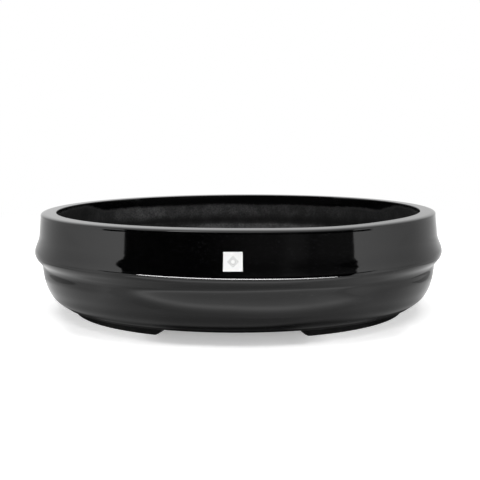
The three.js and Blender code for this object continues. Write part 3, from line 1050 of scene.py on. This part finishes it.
def make_world():
    """A white world, dimmer as a light than as it is seen."""
    world = bpy.data.worlds.new("studio")
    bpy.context.scene.world = world
    world.use_nodes = True
    tree = world.node_tree
    background = tree.nodes["Background"]
    background.inputs["Color"].default_value = WHITE
    tree.links.new(blend(tree, seen_directly(tree), AMBIENT, 1.0), background.inputs["Strength"])
    world.cycles.sampling_method = "NONE"


LAMPS = {
    "softbox_above": {"place": (0, -0.46, 1.35), "target": (0, -0.1, 0), "size": (1.5, 0.3), "power": 10.0},
    "softbox_front": {"place": (0, -1.5, 0.42), "target": (0, 0, 0.05), "size": (1.2, 0.5), "power": 5.5},
}


def make_lamp(name, place, target, size, power):
    """A soft lamp that lights the pot and the floor and is not itself mirrored."""
    light = bpy.data.lights.new(name, "AREA")
    light.shape = "RECTANGLE"
    light.size, light.size_y = size
    light.energy = power
    lamp = as_object(name, light)
    lamp.location = place
    lamp.rotation_euler = (Vector(target) - Vector(place)).to_track_quat("-Z", "Y").to_euler()
    lamp.visible_camera = False
    lamp.visible_glossy = False


# What the glaze mirrors. Bearings are in degrees from straight in front, to the right.


WALL_RADIUS = 8.0
WALL_HEIGHT = 4.4
WALL_FOOT_HEIGHT = -0.1
WALL_BEARINGS = (45, 316, 2.5)


def wall_glow(side):
    """How bright the walls look in the glaze, by their bearing to either side."""
    return 1.79 - smooth(side, 48, 108) + 0.25 * hill(side, 153, 15)


def mirrored_walls():
    """Pale walls to the sides and behind."""
    bearings = np.arange(*WALL_BEARINGS)
    turns = np.radians(bearings)
    glow = wall_glow(np.minimum(bearings, 360 - bearings))
    x, y = WALL_RADIUS * np.sin(turns), -WALL_RADIUS * np.cos(turns)
    rows = [points_at(x, y, z) for z in (WALL_FOOT_HEIGHT, WALL_HEIGHT)]
    return graded_card("mirrored_walls", rows, [glow, glow])


# The mirrored floor, in millimetres: its rings outside the belt, closer where its tone turns, and its height
MIRRORED_RINGS = (
    -70, -34, -28, -25, -23, -21, -19, -17, -15, -13, -11, -9, -7, -4, 0, 4, 8, 12, 18, 24, 32, 40, 50, 56,
    62, 68, 74, 82, 92, 104, 120, 140, 165, 200, 260, 360, 600, 1200, 2500, 5000, 8000,
)
MIRRORED_FLOOR_LIFT = 0.4
FAR_FLOOR_SHARE = 0.93


def mirrored_floor():
    """The floor round the pot as the glaze mirrors it: a painted shadow under the pot, painted light beside
    its ends, and lighter towards the walls.
    """
    angles = np.radians(np.arange(0, 361, 3))
    rows, glows = [], []
    for out in MIRRORED_RINGS:
        points = oval(angles, float(out), MIRRORED_FLOOR_LIFT)
        bearing = np.degrees(np.arctan2(points[:, 0], -points[:, 1]))
        side, left = np.abs(bearing), bearing < 0
        # Painted light close to the pot, more so towards its ends
        beside = np.where(
            left,
            0.42 * smooth(side, 32, 60) + 0.22 * smooth(side, 72, 98),
            0.14 * smooth(side, 36, 56) + 0.3 * smooth(side, 64, 96),
        )
        beside = beside * smooth(out, -18, 14) * (1 - smooth(out, 48, 74))
        # Painted light further out, at either side of the front and behind
        outward = hill(side, 58, 13) * smooth(out, 50, 140) * np.where(left, 0.55, 0.85)
        outward += 0.3 * smooth(side, 105, 130) * smooth(out, 30, 90)
        outward += 0.32 * hill(side, 48, 9) * hill(out, 76, 27)
        # The edge of the painted shadow under the pot, and a second, softer edge outside it
        edge = 6 * hill(bearing, 33, 14) - 4 * smooth(side, 50, 65) - 1.5 * hill(bearing, -40, 20) - 17.3
        wide = 3.5 + 3 * hill(side, 43, 14)
        at_end = smooth(side, 55, 75)
        lit = 0.39 * smooth(out, edge - wide, edge + wide)
        lit += 0.25 * smooth(out, -8 - 6 * at_end, 16 - 8 * at_end)
        under = 0.04 + 0.085 * smooth(side, 20, 32) * (1 - smooth(side, 50, 62))
        near = (under + lit) * (1 + beside) + outward
        far = smooth(out, 150, 900)
        rows.append(points)
        glows.append(near * (1 - far) + FAR_FLOOR_SHARE * wall_glow(side) * far)
    return graded_card("mirrored_floor", rows, glows)


APRON_X = (-0.185, -0.16, -0.14, -0.12, -0.09, -0.05, 0, 0.03, 0.06, 0.09, 0.12, 0.14, 0.155, 0.166)
APRON_BACK = 0.148
APRON_ROWS = (*np.arange(0, 0.12, 0.004), 0.14, 0.17, 0.22, 0.272)
APRON_LIFT = 0.0006
APRON_GLOW = 0.66
STREAK = (0.178, 0.0085)


def mirrored_apron():
    """The lit floor just in front of the pot, with a brighter streak."""
    x = np.array(APRON_X)
    rows, glows = [], []
    for away in APRON_ROWS:
        forward = APRON_BACK - 0.2 * np.maximum(x, 0) + away
        bent = forward - 0.7 * np.minimum(x, 0) ** 2 + 0.22 * np.maximum(x, 0)
        streak = hill(bent, *STREAK)
        lit = 0.7 * smooth(bent, 0.15, 0.182) + 0.62 * streak - 0.28 * hill(bent, 0.224, 0.022)
        lit -= 0.25 * streak * smooth(x, 0.05, 0.09)
        lit = lit * smooth(x, -0.185, -0.125) * (1 - smooth(x, 0.12, 0.166))
        lit += 0.3 * smooth(np.abs(x), 0.1, 0.155)
        rows.append(points_at(x, -forward, APRON_LIFT))
        glows.append(APRON_GLOW + lit)
    return graded_card("mirrored_apron", rows, glows)


CARD_Y = -2.6
CEILING_Z = 2.4
CEILING_ROWS = (CARD_Y, -2.2, -1.8, -1.4, -1.2, -1.0, -0.8, -0.6, -0.4, -0.2)
CEILING_COLUMNS = 40


def mirrored_ceiling():
    """A bright ceiling in front, brighter to the left, which shows in the rim's rounded edges."""
    rows, glows = [], []
    for y in CEILING_ROWS:
        left = np.interp(y, (CARD_Y, 0), (-1.9, -0.6))
        right = np.interp(y, (CARD_Y, -1.4, -1.2), (0.8, 2.0, 4.0))
        x = np.linspace(left, right, CEILING_COLUMNS)
        bearing = np.degrees(np.arctan2(x, -y))
        lit = 1.4 + 1.8 * smooth(-bearing, 15, 38) - 1.4 * smooth(bearing, 15, 50)
        rows.append(points_at(x, y, CEILING_Z))
        glows.append(1 + lit * smooth(-y, 0.2, 0.9))
    return graded_card("mirrored_ceiling", rows, glows)


# The dark card's height, left end and right end, row by row
DARK_CARD_ROWS = (
    (0, -3.45, 3.97), (0.9, -3.5, 4.03), (1.4, -3.71, 4.12), (1.85, -3.9, 4.33), (2.17, -4.11, 4.52),
    (2.45, -4.3, 4.74),
)
DARK_CARD_COLUMNS = 25


def dark_card():
    """The dark card that stands in front, a little less dark right of the middle."""
    rows, glows = [], []
    for height, left, right in DARK_CARD_ROWS:
        x = left + (right - left) * np.linspace(0, 1, DARK_CARD_COLUMNS)
        bearing = np.degrees(np.arctan2(x, -CARD_Y))
        dim = 0.1 * smooth(bearing, -20, 15) + 0.13 * hill(bearing, 27, 3.5) - 0.03 * hill(bearing, 34, 3)
        rows.append(points_at(x, CARD_Y, height))
        glows.append(dim * (1 - 0.6 * height / CEILING_Z))
    return graded_card("dark_card_front", rows, glows)


LINE_PATH = (
    (-0.36, -0.42), (-0.14, -0.34), (-0.04, -0.293), (0.03, -0.27), (0.063, -0.252), (0.09, -0.236),
    (0.12, -0.221), (0.15, -0.206), (0.164, -0.1995),
)
LINE_FOOT = 0.002
LINE_TOPS = ((-0.36, 0.06, 0.164), (0.018, 0.013, 0.0065))
LINE_STRENGTH = 52.0


def line_lamp():
    """A low, gently bent line of light in front of the pot, mirrored under the belt."""
    x, y = np.array(LINE_PATH).T
    rows = [points_at(x, y, height) for height in (LINE_FOOT, np.interp(x, *LINE_TOPS))]
    return graded_card("line_lamp", rows, np.full((2, len(x)), LINE_STRENGTH))


# Outlines of plain cards: those that lie on the floor, as (x, y), and those that stand in front, as (x, z)
DARK_CARD_LIFT = 0.001
FLOOR_CARD = (
    (-0.50, -0.425), (-0.14, -0.345), (0.03, -0.276), (0.09, -0.242), (0.146, -0.214), (0.166, -0.2),
    (0.185, -0.185), (3.97, CARD_Y), (-3.5, CARD_Y),
)
FAR_LEFT_CARD = (
    (-0.5, -0.425), (-3.5, CARD_Y), (-4.3, CARD_Y), (-3.3, -1.53), (-2.16, -0.93), (-1.0, -0.5),
    (-0.56, -0.36),
)
FAR_RIGHT_CARD = (
    (0.45, -0.354), (0.52, -0.31), (1.1, -0.5), (2.19, -0.85), (3.37, -1.41), (5.2, CARD_Y), (3.97, CARD_Y),
)
SIDE_CARD = (
    (-3.4, CEILING_Z), (-3.9, 1.8), (-4.5, 2.44), (-5.1, 3.1), (-6.77, 3.94), (-6.77, 6.0), (-5.1, 4.8),
    (-4.0, 3.9), (-3.4, 3.0),
)
UPPER_CARD = ((0.8, CEILING_Z), (4.74, CEILING_Z), (4.97, 2.8), (4.97, 3.15), (3.1, 2.85), (1.8, 2.75))
GREY_CARD_LIFT = 0.0008
GREY_CARD_GLOW = 0.4
GREY_LEFT_CARD = (
    (-0.246, -0.096), (-0.262, -0.075), (-0.276, -0.045), (-0.285, -0.01), (-0.293, 0.05), (-0.275, 0.06),
    (-0.266, 0.023), (-0.254, -0.018), (-0.246, -0.06), (-0.239, -0.106),
)
GREY_RIGHT_CARD = ((0.255, -0.043), (0.268, 0.036), (0.266, 0.107), (0.246, 0.05), (0.243, -0.001))


def lying_card(name, outline, lift, material):
    return flat_card(name, [(x, y, lift) for x, y in outline], material)


def standing_card(name, outline, material):
    return flat_card(name, [(x, CARD_Y, z) for x, z in outline], material)


def make_studio():
    make_floor()
    make_world()
    for name, settings in LAMPS.items():
        make_lamp(name, **settings)
    black = glowing("black_card", 0.0)
    grey = glowing("grey_card", GREY_CARD_GLOW)
    for card in (
        lying_card("dark_card_floor", FLOOR_CARD, DARK_CARD_LIFT, black),
        standing_card("dark_card_side", SIDE_CARD, black),
        standing_card("dark_card_upper", UPPER_CARD, black),
        lying_card("dark_card_far_left", FAR_LEFT_CARD, DARK_CARD_LIFT, black),
        lying_card("dark_card_far_right", FAR_RIGHT_CARD, DARK_CARD_LIFT, black),
        lying_card("grey_card_left", GREY_LEFT_CARD, GREY_CARD_LIFT, grey),
        lying_card("grey_card_right", GREY_RIGHT_CARD, GREY_CARD_LIFT, grey),
        line_lamp(),
        dark_card(),
        mirrored_walls(),
        mirrored_floor(),
        mirrored_apron(),
        mirrored_ceiling(),
    ):
        only_mirrored(card)


CAMERA_DISTANCE = 0.6865
CAMERA_HEIGHT = 0.16912
CAMERA_AZIMUTH = 3.0
CAMERA_YAW = 0.190
CAMERA_PITCH = 8.966
CAMERA_ROLL = -0.384
CAMERA_LENS = 57.87
CAMERA_SENSOR = 36.0


def make_camera():
    """The camera in front of the pot, turned, tipped and rolled a little, with angles in degrees."""
    data = bpy.data.cameras.new("camera")
    data.lens = CAMERA_LENS
    data.sensor_width = CAMERA_SENSOR
    camera = as_object("camera", data)
    round_pot = math.radians(CAMERA_AZIMUTH)
    x, y = CAMERA_DISTANCE * math.sin(round_pot), -CAMERA_DISTANCE * math.cos(round_pot)
    camera.location = (x, y, CAMERA_HEIGHT)
    turned = Matrix.Rotation(math.radians(CAMERA_AZIMUTH - CAMERA_YAW), 3, "Z")
    tipped = Matrix.Rotation(math.radians(90 - CAMERA_PITCH), 3, "X")
    rolled = Matrix.Rotation(math.radians(CAMERA_ROLL), 3, "Z")
    camera.rotation_euler = (turned @ tipped @ rolled).to_euler()
    bpy.context.scene.camera = camera


def finish_piece(piece, material, cad_node):
    """Gives a piece its material, hangs it under the root, and hides the CAD node it stands for."""
    piece.data.materials.append(material)
    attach(piece, "root")
    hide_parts(cad_node)


def make_pot():
    finish_piece(body_piece(), body_material(), "pot_body")
    clay, plastic, metal = foot_material(), net_material(), wire_material()
    for x_side, x_name in ((-1, "left"), (1, "right")):
        for y_side, y_name in ((-1, "front"), (1, "rear")):
            foot = foot_piece(f"clay_foot_{y_name}_{x_name}", x_side, y_side)
            finish_piece(foot, clay, f"foot_{y_name}_{x_name}")
        net = net_piece(f"moulded_net_{x_name}", x_side * DRAIN_X)
        finish_piece(net, plastic, f"drain_net_{x_name}")
        clip = clip_piece(f"bent_clip_{x_name}", x_side * DRAIN_X)
        finish_piece(clip, metal, f"net_clip_{x_name}")
    finish_piece(label_piece(), label_material(), "front_label")


bpy.context.scene.view_settings.view_transform = "Standard"
make_pot()
make_camera()
make_studio()
